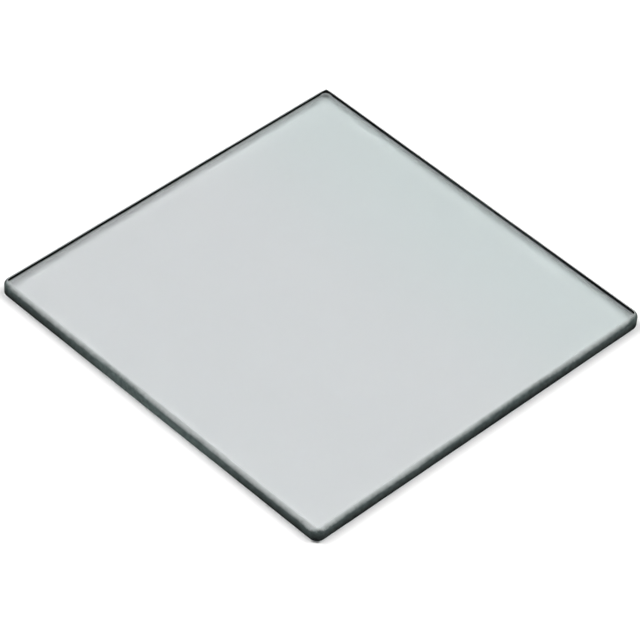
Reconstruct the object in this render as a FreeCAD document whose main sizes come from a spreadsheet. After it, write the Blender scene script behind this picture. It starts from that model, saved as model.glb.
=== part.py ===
# Square diffusion filter for a matte box: one flat plate of glass with ground edges.
# The plate lies on its back face. Its width runs along X, its height along Y and its
# thickness up Z, and the origin is the middle of the back face.
import FreeCAD, Part
import Sketcher
import os

NODE = "filter_plate"

# Driving dimensions in millimetres: alias, value and what it measures.
SIZES = (
    ("plate_width", 101.6, "width of the glass, from ground side to ground side"),
    ("plate_height", 101.6, "height of the glass, from ground end to ground end"),
    ("plate_thickness", 4.0, "from the back face to the front face"),
    ("corner_radius", 2.1, "rounding of the four corners, seen from the front"),
    ("bevel_leg", 0.75, "how far a ground bevel reaches over the face and down the edge"),
    ("arris_radius", 0.5, "softening of each line where two ground flats meet"),
)


def add_sizes(doc):
    """The sheet that holds the driving dimensions, one row each."""
    sheet = doc.addObject("Spreadsheet::Sheet", "Sizes")
    for row, (alias, value, meaning) in enumerate(SIZES, start=1):
        sheet.set(f"A{row}", meaning)
        sheet.set(f"B{row}", str(value))
        sheet.setAlias(f"B{row}", alias)
    doc.recompute()
    return sheet


def add_outline(body):
    """The outline of the plate in the plane of its back face: a rectangle about the origin."""
    sketch = body.newObject("Sketcher::SketchObject", "plate_outline")
    planes = {plane.Role: plane for plane in body.Origin.OriginFeatures}
    sketch.AttachmentSupport = [(planes["XY_Plane"], "")]
    sketch.MapMode = "FlatFace"

    # It is drawn as a small square, and the sheet then gives it its size.
    drawn = 2.0
    corners = [
        FreeCAD.Vector(x * drawn / 2, y * drawn / 2, 0)
        for x, y in ((-1, -1), (1, -1), (1, 1), (-1, 1))
    ]
    bottom, right, top, left = [
        sketch.addGeometry(Part.LineSegment(start, end), False)
        for start, end in zip(corners, corners[1:] + corners[:1])
    ]
    start, end = 1, 2
    for side, following in ((bottom, right), (right, top), (top, left), (left, bottom)):
        sketch.addConstraint(Sketcher.Constraint("Coincident", side, end, following, start))
    for side in (bottom, top):
        sketch.addConstraint(Sketcher.Constraint("Horizontal", side))
    for side in (right, left):
        sketch.addConstraint(Sketcher.Constraint("Vertical", side))
    origin = (-1, 1)
    sketch.addConstraint(
        Sketcher.Constraint("Symmetric", bottom, start, top, start, *origin)
    )

    width = sketch.addConstraint(
        Sketcher.Constraint("DistanceX", bottom, start, bottom, end, drawn)
    )
    sketch.renameConstraint(width, "width")
    sketch.setExpression("Constraints.width", "Sizes.plate_width")
    height = sketch.addConstraint(
        Sketcher.Constraint("DistanceY", right, start, right, end, drawn)
    )
    sketch.renameConstraint(height, "height")
    sketch.setExpression("Constraints.height", "Sizes.plate_height")
    return sketch


def add_blank(body, outline):
    """The blank as it is cut from sheet glass, with sharp corners and edges."""
    blank = body.newObject("PartDesign::Pad", "glass_blank")
    blank.Profile = outline
    blank.setExpression("Length", "Sizes.plate_thickness")
    return blank


def edges_of(feature, wanted):
    """Names of the feature's edges for which wanted(edge) holds."""
    edges = enumerate(feature.Shape.Edges, start=1)
    return [f"Edge{number}" for number, edge in edges if wanted(edge)]


def steepness(edge):
    """How steeply an edge sets off from its start: 0 where it is level, 1 where it is upright."""
    return abs(edge.tangentAt(edge.FirstParameter).z)


def stands_upright(edge):
    """True for an edge that runs along Z, such as a corner of the blank."""
    return steepness(edge) > 0.99


def lies_level(edge):
    """True for an edge that keeps one height, such as either border of a bevel."""
    return steepness(edge) < 0.01


def add_rounded_corners(body, blank):
    """The four corners, rounded on the edge grinder."""
    corners = body.newObject("PartDesign::Fillet", "rounded_corners")
    corners.Base = (blank, edges_of(blank, stands_upright))
    corners.setExpression("Radius", "Sizes.corner_radius")
    return corners


def add_bevels(body, ground):
    """The 45 degree bevels all round the front and the back face, corners too."""
    bevels = body.newObject("PartDesign::Chamfer", "ground_bevels")
    bevels.Base = (ground, edges_of(ground, lies_level))
    bevels.setExpression("Size", "Sizes.bevel_leg")
    return bevels


def add_soft_arrises(body, bevelled):
    """The lines where a bevel meets a face or the edge, stoned so that they don't cut."""
    arrises = body.newObject("PartDesign::Fillet", "soft_arrises")
    arrises.Base = (bevelled, edges_of(bevelled, lies_level))
    arrises.setExpression("Radius", "Sizes.arris_radius")
    return arrises


def add_filter_plate(doc):
    """The plate, made in the order that a glass shop makes it."""
    body = doc.addObject("PartDesign::Body", NODE)
    body.Label = NODE
    outline = add_outline(body)
    blank = add_blank(body, outline)
    doc.recompute()
    ground = add_rounded_corners(body, blank)
    doc.recompute()
    bevelled = add_bevels(body, ground)
    doc.recompute()
    body.Tip = add_soft_arrises(body, bevelled)
    doc.recompute()
    return body


def check(doc, pieces):
    """Stops the build if a feature failed or a piece isn't one sound solid."""
    for item in doc.Objects:
        if {"Invalid", "Error"} & set(item.State):
            raise RuntimeError(f"{item.Label} failed: {item.State}")
    for piece in pieces:
        shape = piece.Shape
        if shape.isNull() or not shape.isValid() or len(shape.Solids) != 1:
            raise RuntimeError(f"{piece.Label} isn't one sound solid")


def check_sizes(sheet, piece):
    """Stops the build if the plate's width, height or thickness isn't what the sheet says."""
    box = piece.Shape.BoundBox
    made = (box.XLength, box.YLength, box.ZLength)
    stated = (sheet.plate_width, sheet.plate_height, sheet.plate_thickness)
    for length, size in zip(made, stated):
        if round(length - float(size), 3) != 0:
            raise RuntimeError(f"{piece.Label} measures {made}, and the sheet says {stated}")


def main():
    doc = FreeCAD.newDocument("diffusion_filter")
    sheet = add_sizes(doc)
    plate = add_filter_plate(doc)
    check(doc, [plate])
    check_sizes(sheet, plate)
    os.makedirs("parts", exist_ok=True)
    plate.Shape.exportStep(f"parts/{plate.Label}.step")
    box = plate.Shape.BoundBox
    print(f"{plate.Label}: {box.XLength:.3f} x {box.YLength:.3f} x {box.ZLength:.3f} mm")
    print(f"volume {plate.Shape.Volume:.2f} mm3, {len(plate.Shape.Faces)} faces")


main()
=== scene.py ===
import math

import bpy
from mathutils import Matrix, Vector, noise


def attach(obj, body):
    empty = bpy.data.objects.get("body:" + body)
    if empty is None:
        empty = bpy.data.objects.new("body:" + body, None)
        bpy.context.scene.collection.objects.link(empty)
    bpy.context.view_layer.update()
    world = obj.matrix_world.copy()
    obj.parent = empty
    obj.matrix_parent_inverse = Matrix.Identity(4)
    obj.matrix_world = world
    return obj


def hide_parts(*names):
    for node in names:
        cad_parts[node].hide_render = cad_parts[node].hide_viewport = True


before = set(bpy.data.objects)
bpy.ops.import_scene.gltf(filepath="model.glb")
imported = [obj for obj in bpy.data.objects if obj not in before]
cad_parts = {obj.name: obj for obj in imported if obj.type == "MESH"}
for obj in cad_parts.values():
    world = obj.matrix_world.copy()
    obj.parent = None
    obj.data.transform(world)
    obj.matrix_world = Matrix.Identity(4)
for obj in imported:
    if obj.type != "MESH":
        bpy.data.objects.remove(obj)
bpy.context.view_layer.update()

# Camera, worked out from the outline of the plate in the photograph.
CAMERA_AZIMUTH = 42.530
CAMERA_ELEVATION = 44.173
CAMERA_ROLL = -4.706
CAMERA_DISTANCE = 0.89174
CAMERA_RIGHT = -0.0000667
CAMERA_UP = -0.0023666
LENS_MM = 224.16
SENSOR_MM = 36.0

# The plate, in metres. The CAD solid has the same side and thickness, and one bevel and one
# corner radius all round: the rounded means of the ones here.
PLATE_SIDE = 0.1016
PLATE_THICKNESS = 0.0040
FRONT_BEVEL = 0.00085
BACK_BEVEL = 0.00065
BACK_ARRIS = 0.0005
# The front arris is rounder along the right and the near side than along the other two.
FRONT_ARRISES = (0.0005, 0.0009)

# The four corners were rounded by hand, so their radii differ: right, far, left and near.
CORNER_RADII = (0.0026, 0.0017, 0.0023, 0.0021)

# The bevels were ground straight, so they are narrower across a rounded corner by this much.
CORNER_PINCH = 0.00025

# How far each bevel's width wanders along the edge, and over what length.
BEVEL_WANDER = 0.00004
WANDER_LENGTH = 0.011
WANDER_SPLIT = 0.05

# The smoothness of the mesh: steps round an arris and a corner, and metres between stations.
ARRIS_STEPS = 6
CORNER_STEPS = 18
STATION_PITCH = 0.0015

# Where things start and are full on the plate: |x| + |y| over a corner and along the rest of
# the edge, |x + y| over the left and the right corner, and x at the right side.
CORNER_ZONE = (0.0990, 0.1002)
UNEVEN_ZONE = (0.0940, 0.1002)
SIDE_CORNER_ZONE = (0.0965, 0.0997)
RIGHT_SIDE_ZONE = (0.0480, 0.0505)

# The middle of the near and the back side has one even residue colour, without the dark foot: |x|
# along it, |y| up to it.
MID_SIDE_ALONG = (0.036, 0.006)
MID_SIDE_ACROSS = (0.0495, 0.0503)

# The faces are polished where their normal is this upright, and all else is ground.
GROUND_UPRIGHT = (0.995, 0.93)

# Dark residue of the grinding fills the wall of the edge, with painted shade on it. These are the
# heights between which it gives way to the frosted bevels above and below it, and over which its
# colour pales.
# Painted shade: the dark of the wall fades out over the upper bevel, darkest on its lower half.
RESIDUE_AND_SHADE_TOP = (0.00285, 0.0043)
# Painted contact shadow: the dark of the wall runs down over the upper part of the lower bevel.
RESIDUE_AND_SHADE_FOOT = (0.00058, 0.00030)
# Painted shade: the wall's colour is nearly black at the foot and pales up to here.
PAINTED_SHADE_FADE = (0.0008, 0.0034)

# How far the top of the residue wanders: in fine stains, in swells and in a slow drift.
STAIN_WANDER = 0.0002
SWELL_WANDER = 0.0002
DRIFT_WANDER = 0.0003
CALM_SHARE = 0.4

# How much higher it reaches over the corners, at the right side, and over two corners more,
# and how much its foot is raised over the corners.
CORNER_RISE = 0.0004
RIGHT_SIDE_RISE = 0.0003
SIDE_CORNER_RISE = 0.00025
CORNER_FOOT_RISE = 0.00012

# The sizes of the procedural patterns, as scale, detail and roughness.
GRAIN = (2500.0, 4.0, 0.6)
STAINS = (900.0, 4.0, 0.7)
PATCHES = (160.0, 3.0, 0.6)
SWELL = (75.0, 2.0, 0.6)
DRIFT = (22.0, 1.0, 0.6)

# Where such a pattern mostly lies between its lowest and its highest value.
PATTERN_LOW = 0.3
PATTERN_HIGH = 0.7

# Roughness of the polished faces, the frosted bevels and the wall, and what the lower bevel,
# which was ground finer, has less.
POLISHED = 0.012
FROSTED_ROUGHNESS = (0.55, 0.65)
LOWER_BEVEL_LESS = 0.19
WALL_ROUGHNESS = (0.88, 1.0)

# How opaque the ground glass is, frosted and under the residue and its painted shade.
FROSTED_BODY = 0.12
RESIDUE_AND_SHADE_BODY = 0.85

# Colours: frosted glass, the residue and its painted shade at the foot and at the top, the even
# residue in the middle of two sides, how its mottles dim and lift it, polished glass, and the
# greener tint of the glass towards the back side.
FROSTED_COLOURS = ((0.88, 0.94, 0.93, 1.0), (0.96, 1.0, 0.99, 1.0))
RESIDUE_AND_SHADE_COLOURS = ((0.003, 0.006, 0.0056, 1.0), (0.080, 0.103, 0.100, 1.0))
MID_SIDE_RESIDUE_COLOUR = (0.085, 0.112, 0.108, 1.0)
RESIDUE_MOTTLE = (0.36, 0.64, 0.68, 1.32)
FACE_COLOURS = ((0.982, 1.0, 0.998, 1.0), (0.972, 0.994, 0.991, 1.0))
BACK_TINT = (0.950, 0.999, 0.988, 1.0)
BACK_TINT_ZONE = (0.0, 0.048)

# The glass itself.
GLASS_IOR = 1.52
SPECULAR_LEVEL = 0.1
ABSORPTION_COLOUR = (0.745, 0.744, 0.753, 1.0)
ABSORPTION_DENSITY = 230.0
GRAIN_STRENGTH = 0.35
GRAIN_DEPTH = 0.00004

# The floor lies a hair under the plate.
FLOOR_REACH = 5.0
FLOOR_DROP = 0.00006
FLOOR_COLOUR = (0.90, 0.90, 0.90, 1.0)

# Two soft lights: how far each leans from overhead, its full and its whole radius in degrees.
LIGHT_TILT = 29.0
LIGHT_CORE = 15.0
LIGHT_REACH = 27.0
LIGHT_LEVEL = 5.3
# The dim room, its paler walls low down, and how pale the surround is behind the plate.
ROOM_LIGHT = 0.06
WALL_GLOW = 0.22
WALL_GLOW_SINE = (0.30, 0.05)
SURROUND = 1.1
WHITE = (1.0, 1.0, 1.0, 1.0)

# Light passes through many ground and polished surfaces before it leaves the glass.
BOUNCES = 24


def add_camera():
    """The camera at the photograph's angle, looking past the middle of the plate."""
    azimuth = math.radians(CAMERA_AZIMUTH)
    elevation = math.radians(CAMERA_ELEVATION)
    roll = math.radians(CAMERA_ROLL)
    back = Vector((
        math.sin(azimuth) * math.cos(elevation),
        -math.cos(azimuth) * math.cos(elevation),
        math.sin(elevation),
    ))
    level = Vector((math.cos(azimuth), math.sin(azimuth), 0.0))
    rising = back.cross(level)
    image_right = level * math.cos(roll) - rising * math.sin(roll)
    image_up = level * math.sin(roll) + rising * math.cos(roll)
    place = level * CAMERA_RIGHT + rising * CAMERA_UP + back * CAMERA_DISTANCE
    data = bpy.data.cameras.new("camera")
    data.lens = LENS_MM
    data.sensor_width = SENSOR_MM
    data.clip_start = 0.01
    data.clip_end = 20.0
    camera = bpy.data.objects.new("camera", data)
    bpy.context.scene.collection.objects.link(camera)
    turn = Matrix((image_right, image_up, back)).transposed()
    camera.matrix_world = Matrix.Translation(place) @ turn.to_4x4()
    bpy.context.scene.camera = camera


class Nodes:
    """Short calls for the nodes of one material or world."""

    def __init__(self, owner):
        owner.use_nodes = True
        self.tree = owner.node_tree
        self.tree.nodes.clear()

    def add(self, kind, inputs=(), **settings):
        """A new node with its settings, and its inputs set or linked."""
        node = self.tree.nodes.new(kind)
        for name, value in settings.items():
            setattr(node, name, value)
        for name, value in dict(inputs).items():
            self.put(node, name, value)
        return node

    def put(self, node, name, value):
        """Links the input if the value is another node's output, and otherwise sets it."""
        socket = node.inputs[name]
        if isinstance(value, bpy.types.NodeSocket):
            self.tree.links.new(value, socket)
        else:
            socket.default_value = value

    def math(self, operation, *values):
        node = self.add("ShaderNodeMath", operation=operation)
        for index, value in enumerate(values):
            self.put(node, index, value)
        return node.outputs[0]

    def span(self, value, low, high, to_low=0.0, to_high=1.0, shape="SMOOTHSTEP"):
        """The value's way from low to high, drawn out to to_low and to_high and held there."""
        node = self.add("ShaderNodeMapRange", interpolation_type=shape)
        for index, number in enumerate((value, low, high, to_low, to_high)):
            self.put(node, index, number)
        return node.outputs["Result"]

    def mix(self, share, first, second):
        """The first colour where the share is 0, and the second where it is 1."""
        node = self.add("ShaderNodeMix", data_type="RGBA")
        # A Mix node has its colours after its numbers and vectors: two inputs and one output.
        for index, value in ((0, share), (6, first), (7, second)):
            self.put(node, index, value)
        return node.outputs[2]

    def noise(self, where, pattern):
        scale, detail, roughness = pattern
        return self.add("ShaderNodeTexNoise", {
            "Vector": where, "Scale": scale, "Detail": detail, "Roughness": roughness,
        }).outputs["Fac"]

    def spread(self, pattern, to_low, to_high, shape="SMOOTHSTEP"):
        """A pattern's usual range, drawn out to the range that is asked for."""
        return self.span(pattern, PATTERN_LOW, PATTERN_HIGH, to_low, to_high, shape)


def half_section(inset_leg, drop_leg, arris):
    """The edge from the middle of the side up to the face: inset, drop below the face, out, up."""
    lean = math.atan2(inset_leg, drop_leg)
    lower = arris * math.tan(lean / 2)
    upper = arris * math.tan((math.pi / 2 - lean) / 2)
    points = []
    for step in range(ARRIS_STEPS + 1):
        a = lean * step / ARRIS_STEPS
        out, up = math.cos(a), math.sin(a)
        points.append((arris - arris * out, drop_leg + lower - arris * up, out, up))
    for step in range(ARRIS_STEPS + 1):
        a = lean + (math.pi / 2 - lean) * step / ARRIS_STEPS
        out, up = math.cos(a), math.sin(a)
        points.append((inset_leg + upper - arris * out, arris - arris * up, out, up))
    return points


def outline_stations():
    """Points round the plate's outline: x, y, the way out in x and in y, and the share of pinch."""
    stations = []
    for quarter, radius in enumerate(CORNER_RADII):
        start = quarter * math.pi / 2
        cx = (PLATE_SIDE / 2 - radius) * (1 if quarter in (0, 3) else -1)
        cy = (PLATE_SIDE / 2 - radius) * (1 if quarter in (0, 1) else -1)
        for step in range(CORNER_STEPS + 1):
            b = start + math.pi / 2 * step / CORNER_STEPS
            ox, oy = math.cos(b), math.sin(b)
            pinch = math.sin(math.pi * step / CORNER_STEPS) ** 4
            stations.append((cx + radius * ox, cy + radius * oy, ox, oy, pinch))
        x, y, ox, oy, pinch = stations[-1]
        run = PLATE_SIDE - radius - CORNER_RADII[(quarter + 1) % 4]
        steps = round(run / STATION_PITCH)
        for step in range(1, steps):
            along = run * step / steps
            stations.append((x - oy * along, y + ox * along, ox, oy, 0.0))
    return stations


def arris_at(side, ox, oy):
    """The arris radius of the front (1) or the back (-1) face, where the edge looks ox, oy."""
    if side < 0:
        return BACK_ARRIS
    sharper, rounder = FRONT_ARRISES
    return sharper + (rounder - sharper) * min(max((1 + ox - oy) / 2, 0), 1)


def half_rings(stations, side, ground_leg):
    """The rings of one half of the edge, from its middle to the face: a place and a normal each."""
    middle = PLATE_THICKNESS / 2
    columns = []
    for x, y, ox, oy, pinch in stations:
        at = Vector((x, y, side * WANDER_SPLIT)) / WANDER_LENGTH
        leg = ground_leg + BEVEL_WANDER * noise.noise(at)
        section = half_section(leg - CORNER_PINCH * pinch, leg, arris_at(side, ox, oy))
        columns.append([
            ((x - ox * inset, y - oy * inset, middle + side * (middle - drop)),
             (ox * out, oy * out, side * up))
            for inset, drop, out, up in section
        ])
    return [list(ring) for ring in zip(*columns)]


def plate_mesh():
    """The ground plate as one closed mesh, with the true normals of its bevels and arrises."""
    stations = outline_stations()
    rings = half_rings(stations, -1, BACK_BEVEL)[::-1] + half_rings(stations, 1, FRONT_BEVEL)
    count = len(stations)
    verts = [place for row in rings for place, way in row]
    ways = [way for row in rings for place, way in row]
    faces = []
    for i in range(len(rings) - 1):
        for j in range(count):
            k = (j + 1) % count
            faces.append((i * count + j, i * count + k, (i + 1) * count + k, (i + 1) * count + j))
    faces.append(tuple(range(count))[::-1])
    faces.append(tuple((len(rings) - 1) * count + j for j in range(count)))
    mesh = bpy.data.meshes.new("filter_glass_plate")
    mesh.from_pydata(verts, [], faces)
    mesh.polygons.foreach_set("use_smooth", [True] * len(mesh.polygons))
    mesh.normals_split_custom_set_from_vertices(ways)
    mesh.update()
    return mesh


def residue_and_shade_share(n, place, stains, swell, drift):
    """The share of dark residue and painted shade on the edge, its height as it wanders, and the
    clear foot.
    """
    height = place["Z"]
    across = n.math("ADD", n.math("ABSOLUTE", place["X"]), n.math("ABSOLUTE", place["Y"]))
    sideways = n.math("ABSOLUTE", n.math("ADD", place["X"], place["Y"]))
    corner = n.span(across, *CORNER_ZONE)

    uneven = n.math("ADD", n.spread(stains, -STAIN_WANDER, STAIN_WANDER, "LINEAR"),
                    n.spread(swell, -SWELL_WANDER, SWELL_WANDER, "LINEAR"))
    blotch = n.math("ADD", n.math("MULTIPLY", uneven, n.span(across, *UNEVEN_ZONE, CALM_SHARE, 1.0)),
                    n.spread(drift, -DRIFT_WANDER, DRIFT_WANDER, "LINEAR"))
    higher = n.math("ADD", n.math("MULTIPLY", corner, CORNER_RISE),
                    n.math("ADD", n.span(place["X"], *RIGHT_SIDE_ZONE, 0.0, RIGHT_SIDE_RISE),
                           n.span(sideways, *SIDE_CORNER_ZONE, 0.0, SIDE_CORNER_RISE)))
    tide = n.math("SUBTRACT", n.math("ADD", height, blotch), higher)
    # Painted shade: the dark wall fades out over the upper bevel, darkest on its lower half.
    clear_above = n.span(tide, *RESIDUE_AND_SHADE_TOP)

    # Painted contact shadow: the dark wall covers the upper part of the lower bevel.
    foot = n.math("SUBTRACT", height, n.math("MULTIPLY", corner, CORNER_FOOT_RISE))
    clear_below = n.span(foot, *RESIDUE_AND_SHADE_FOOT)
    wall = n.math("SUBTRACT", 1.0, n.math("MAXIMUM", clear_above, clear_below))
    return wall, tide, clear_below


def residue_and_shade_colour(n, place, tide, stains):
    """Nearly black at the foot and paler above as painted shade, one even colour in the middle of
    two sides, and mottled.
    """
    # Painted shade: nearly black at the foot, paler upwards.
    rise = n.span(tide, *PAINTED_SHADE_FADE, 0.0, 1.0, "LINEAR")
    wall_colour = n.mix(rise, *RESIDUE_AND_SHADE_COLOURS)
    # In the middle of the near and the back side the wall takes one even colour, without the dark
    # foot.
    mid_side = n.math("MULTIPLY", n.span(n.math("ABSOLUTE", place["X"]), *MID_SIDE_ALONG),
                   n.span(n.math("ABSOLUTE", place["Y"]), *MID_SIDE_ACROSS))
    wall_colour = n.mix(mid_side, wall_colour, MID_SIDE_RESIDUE_COLOUR)
    mottle = n.span(stains, *RESIDUE_MOTTLE, "LINEAR")
    return n.add("ShaderNodeVectorMath", {0: wall_colour, "Scale": mottle},
                 operation="SCALE").outputs["Vector"]


def glass():
    """Polished faces, frosted bevels and a dark ground wall with painted shade, over faintly
    grey-green glass.
    """
    material = bpy.data.materials.new("filter_glass")
    n = Nodes(material)
    out = n.add("ShaderNodeOutputMaterial")
    where = n.add("ShaderNodeTexCoord").outputs["Object"]
    place = n.add("ShaderNodeSeparateXYZ", {0: where}).outputs
    facing = n.add("ShaderNodeNewGeometry").outputs["Normal"]
    facing = n.add("ShaderNodeSeparateXYZ", {0: facing}).outputs["Z"]
    ground = n.span(n.math("ABSOLUTE", facing), *GROUND_UPRIGHT)

    grain = n.noise(where, GRAIN)
    patches = n.noise(where, PATCHES)
    stains = n.noise(where, STAINS)
    swell = n.noise(where, SWELL)
    drift = n.noise(where, DRIFT)
    wall, tide, clear_below = residue_and_shade_share(n, place, stains, swell, drift)

    frost = n.math("SUBTRACT", n.spread(patches, *FROSTED_ROUGHNESS),
                   n.math("MULTIPLY", clear_below, LOWER_BEVEL_LESS))
    rough = n.spread(patches, *WALL_ROUGHNESS)
    blend = n.math("ADD", n.math("MULTIPLY", wall, rough),
                   n.math("MULTIPLY", n.math("SUBTRACT", 1.0, wall), frost))
    roughness = n.math("ADD", n.math("MULTIPLY", ground, blend), POLISHED)

    frosted = n.mix(stains, *FROSTED_COLOURS)
    # The wall's dark colour holds both the residue and its painted shade.
    colour = n.mix(wall, frosted, residue_and_shade_colour(n, place, tide, stains))
    face = n.mix(patches, *FACE_COLOURS)
    face = n.mix(n.span(place["Y"], *BACK_TINT_ZONE), face, BACK_TINT)
    colour = n.mix(ground, face, colour)

    body = n.span(wall, 0.0, 1.0, FROSTED_BODY, RESIDUE_AND_SHADE_BODY, "LINEAR")
    transmission = n.math("SUBTRACT", 1.0, n.math("MULTIPLY", ground, body))
    bump = n.add("ShaderNodeBump", {"Strength": n.math("MULTIPLY", ground, GRAIN_STRENGTH),
                                    "Distance": GRAIN_DEPTH, "Height": grain})
    shader = n.add("ShaderNodeBsdfPrincipled", {
        "Base Color": colour,
        "Roughness": roughness,
        "IOR": GLASS_IOR,
        "Specular IOR Level": SPECULAR_LEVEL,
        "Transmission Weight": transmission,
        "Normal": bump.outputs["Normal"],
    })
    n.put(out, "Surface", shader.outputs[0])
    volume = n.add("ShaderNodeVolumeAbsorption", {"Color": ABSORPTION_COLOUR,
                                                  "Density": ABSORPTION_DENSITY})
    n.put(out, "Volume", volume.outputs[0])
    return material


def add_floor():
    """A plain pale floor, far wider than the view."""
    mesh = bpy.data.meshes.new("floor")
    r = FLOOR_REACH
    z = -FLOOR_DROP
    mesh.from_pydata([(-r, -r, z), (r, -r, z), (r, r, z), (-r, r, z)], [], [(0, 1, 2, 3)])
    floor = bpy.data.objects.new("floor", mesh)
    bpy.context.scene.collection.objects.link(floor)
    material = bpy.data.materials.new("floor")
    n = Nodes(material)
    out = n.add("ShaderNodeOutputMaterial")
    shader = n.add("ShaderNodeBsdfDiffuse", {"Color": FLOOR_COLOUR})
    n.put(out, "Surface", shader.outputs[0])
    mesh.materials.append(material)


def add_world():
    """Two soft lights, high to the left and to the right of the camera's view, in a dim room."""
    world = bpy.data.worlds.new("studio")
    bpy.context.scene.world = world
    n = Nodes(world)
    out = n.add("ShaderNodeOutputWorld")
    direction = n.add("ShaderNodeTexCoord").outputs["Generated"]
    azimuth = math.radians(CAMERA_AZIMUTH)
    up = n.add("ShaderNodeSeparateXYZ", {0: direction}).outputs["Z"]
    level = n.math("ADD", ROOM_LIGHT, n.span(up, *WALL_GLOW_SINE, 0.0, WALL_GLOW))
    tilt = math.radians(LIGHT_TILT)
    rim = math.cos(math.radians(LIGHT_REACH))
    core = math.cos(math.radians(LIGHT_CORE))
    for side in (-1, 1):
        lean = side * math.sin(tilt)
        aim = (lean * math.cos(azimuth), lean * math.sin(azimuth), math.cos(tilt))
        near = n.add("ShaderNodeVectorMath", {0: direction, 1: aim},
                     operation="DOT_PRODUCT").outputs["Value"]
        disc = n.span(near, rim, core, 0.0, LIGHT_LEVEL)
        level = n.math("ADD", level, disc)
    # What stands behind the plate in a low view is a pale surround, as the floor is below it.
    seen = n.add("ShaderNodeLightPath").outputs["Is Camera Ray"]
    level = n.math("MAXIMUM", level, n.math("MULTIPLY", seen, SURROUND))
    background = n.add("ShaderNodeBackground", {"Color": WHITE, "Strength": level})
    n.put(out, "Surface", background.outputs[0])


add_camera()
add_floor()
add_world()

plate = bpy.data.objects.new("filter_glass_plate", plate_mesh())
bpy.context.scene.collection.objects.link(plate)
plate.data.materials.append(glass())
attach(plate, "root")
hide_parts("filter_plate")

scene = bpy.context.scene
scene.cycles.blur_glossy = 0.0
scene.cycles.sample_clamp_indirect = 0.0
scene.cycles.max_bounces = BOUNCES
scene.cycles.glossy_bounces = BOUNCES
scene.cycles.transmission_bounces = BOUNCES
scene.view_settings.view_transform = "Standard"
scene.view_settings.look = "None"
scene.view_settings.exposure = 0.0
scene.view_settings.gamma = 1.0
